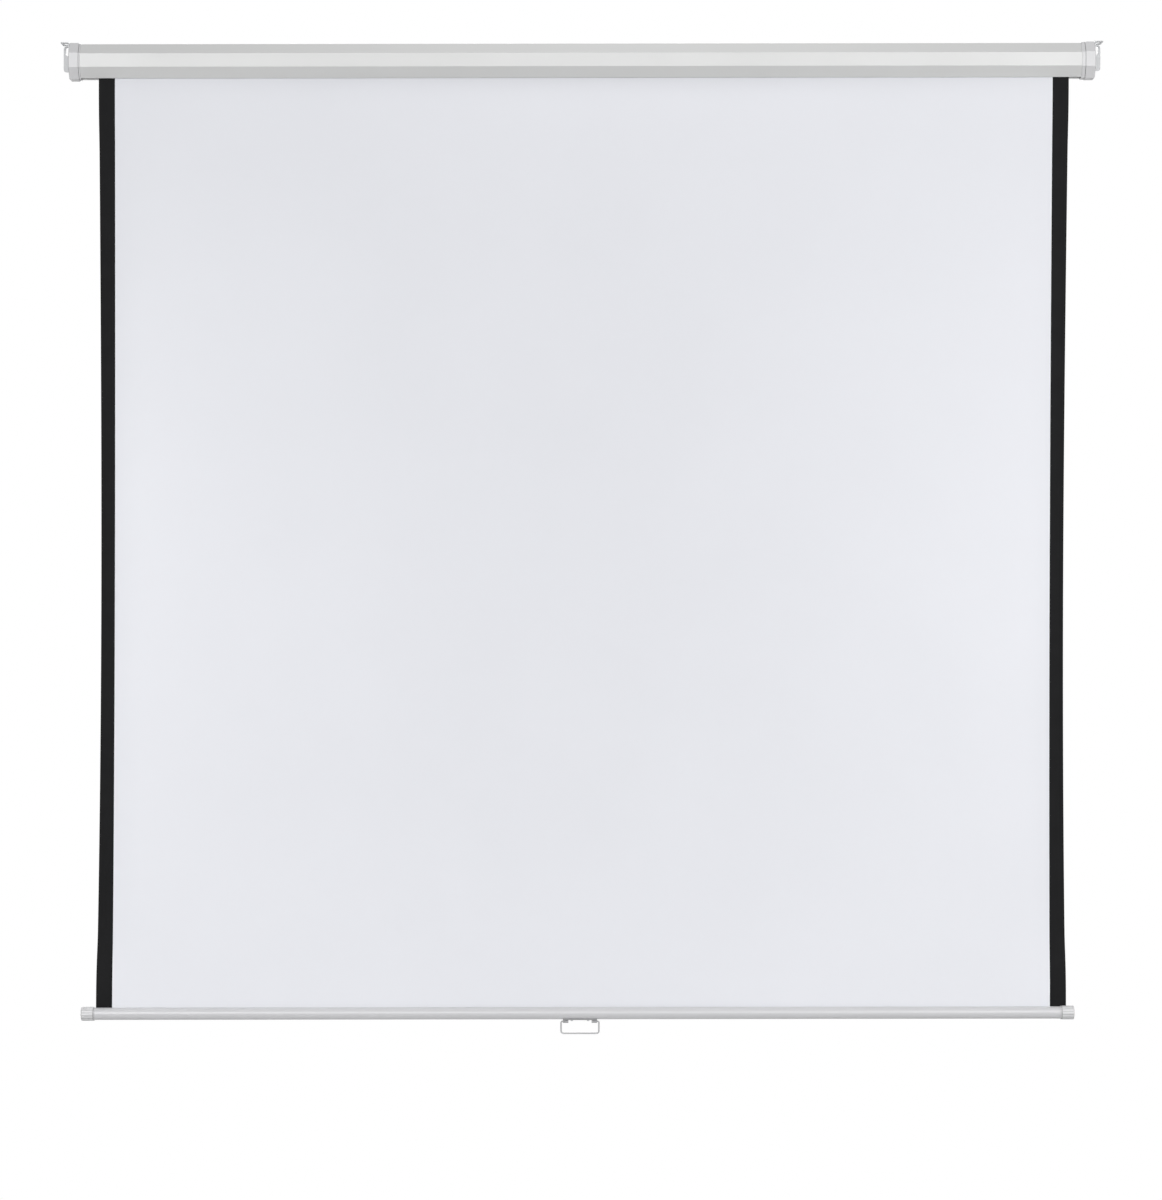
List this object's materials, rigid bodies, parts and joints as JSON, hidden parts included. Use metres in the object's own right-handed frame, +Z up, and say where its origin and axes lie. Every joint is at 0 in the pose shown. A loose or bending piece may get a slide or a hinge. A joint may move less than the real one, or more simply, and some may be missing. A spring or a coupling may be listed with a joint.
{
  "type": "pull down projector screen",
  "caption": "Wall or ceiling hung projection screen that pulls down from a ratcheted spring roller by a wire handle under a slotted bottom bar.",
  "frame": {"origin": "centre of the case's flat back face, half way along the case", "axes": "+X to the viewer's right along the case, +Y towards the wall behind the screen, +Z up; the viewing side faces -Y"},
  "size_m": [1.9346, 0.0653, 1.8415],
  "materials": {
    "case_enamel": "satin",
    "bracket_enamel": "satin",
    "bar_enamel": "satin",
    "cap_plastic": "satin",
    "zinc_steel": "satin",
    "spring_steel": "satin",
    "nylon": "matte",
    "screen_vinyl": "matte"
  },
  "bodies": {
    "housing": {"housing_case": "case_enamel", "end_cap_left": "cap_plastic", "end_cap_right": "cap_plastic", "mount_bracket_left": "bracket_enamel", "mount_bracket_right": "bracket_enamel", "cap_screw_upper_left": "zinc_steel", "cap_screw_lower_left": "zinc_steel", "bracket_screw_left": "zinc_steel", "cap_screw_upper_right": "zinc_steel", "cap_screw_lower_right": "zinc_steel", "bracket_screw_right": "zinc_steel", "spindle": "zinc_steel", "ratchet_hub": "zinc_steel", "spring_collar": "zinc_steel", "torsion_spring": "spring_steel", "idler_bush": "nylon", "screen_fabric": "screen_vinyl"},
    "roller": {"roller_tube": "zinc_steel", "fabric_wraps": "screen_vinyl", "ratchet_head": "zinc_steel", "spring_anchor": "nylon", "idler_plug": "nylon", "idler_pin": "zinc_steel", "pawl_pin_a": "zinc_steel", "pawl_pin_b": "zinc_steel"},
    "pawl_lever_a": {"pawl_a": "zinc_steel"},
    "pawl_lever_b": {"pawl_b": "zinc_steel"},
    "bar": {"bottom_bar": "bar_enamel", "hem_spline": "nylon", "bar_cap_left": "cap_plastic", "bar_cap_right": "cap_plastic", "handle_bracket": "bar_enamel", "handle_screw_left": "zinc_steel", "handle_screw_right": "zinc_steel"},
    "handle": {"pull_handle": "bar_enamel"}
  },
  "joints": [
    {"name": "screen_raise", "type": "slide", "parent": "housing", "child": "bar", "axis": [0, 0, 1], "range_m": [0, 1.72], "deforming": ["screen_fabric"]},
    {"name": "roller_spin", "type": "hinge", "parent": "housing", "child": "roller", "pos_m": [0, -0.02495, 0], "axis": [1, 0, 0], "range_deg": [-6453, 0], "deforming": ["torsion_spring"]},
    {"name": "pawl_a_swing", "type": "hinge", "parent": "roller", "child": "pawl_lever_a", "pos_m": [-0.93205, -0.01555, 0], "axis": [1, 0, 0], "range_deg": [0, 30]},
    {"name": "pawl_b_swing", "type": "hinge", "parent": "roller", "child": "pawl_lever_b", "pos_m": [-0.93205, -0.03435, 0], "axis": [1, 0, 0], "range_deg": [0, 30]},
    {"name": "handle_swing", "type": "hinge", "parent": "bar", "child": "handle", "pos_m": [-0.0063, -0.04022, -1.7823], "axis": [1, 0, 0], "range_deg": [-110, 110]}
  ],
  "couplings": [
    {"joint": "roller_spin", "follows": "screen_raise", "rad_per_m": -65.466}
  ]
}
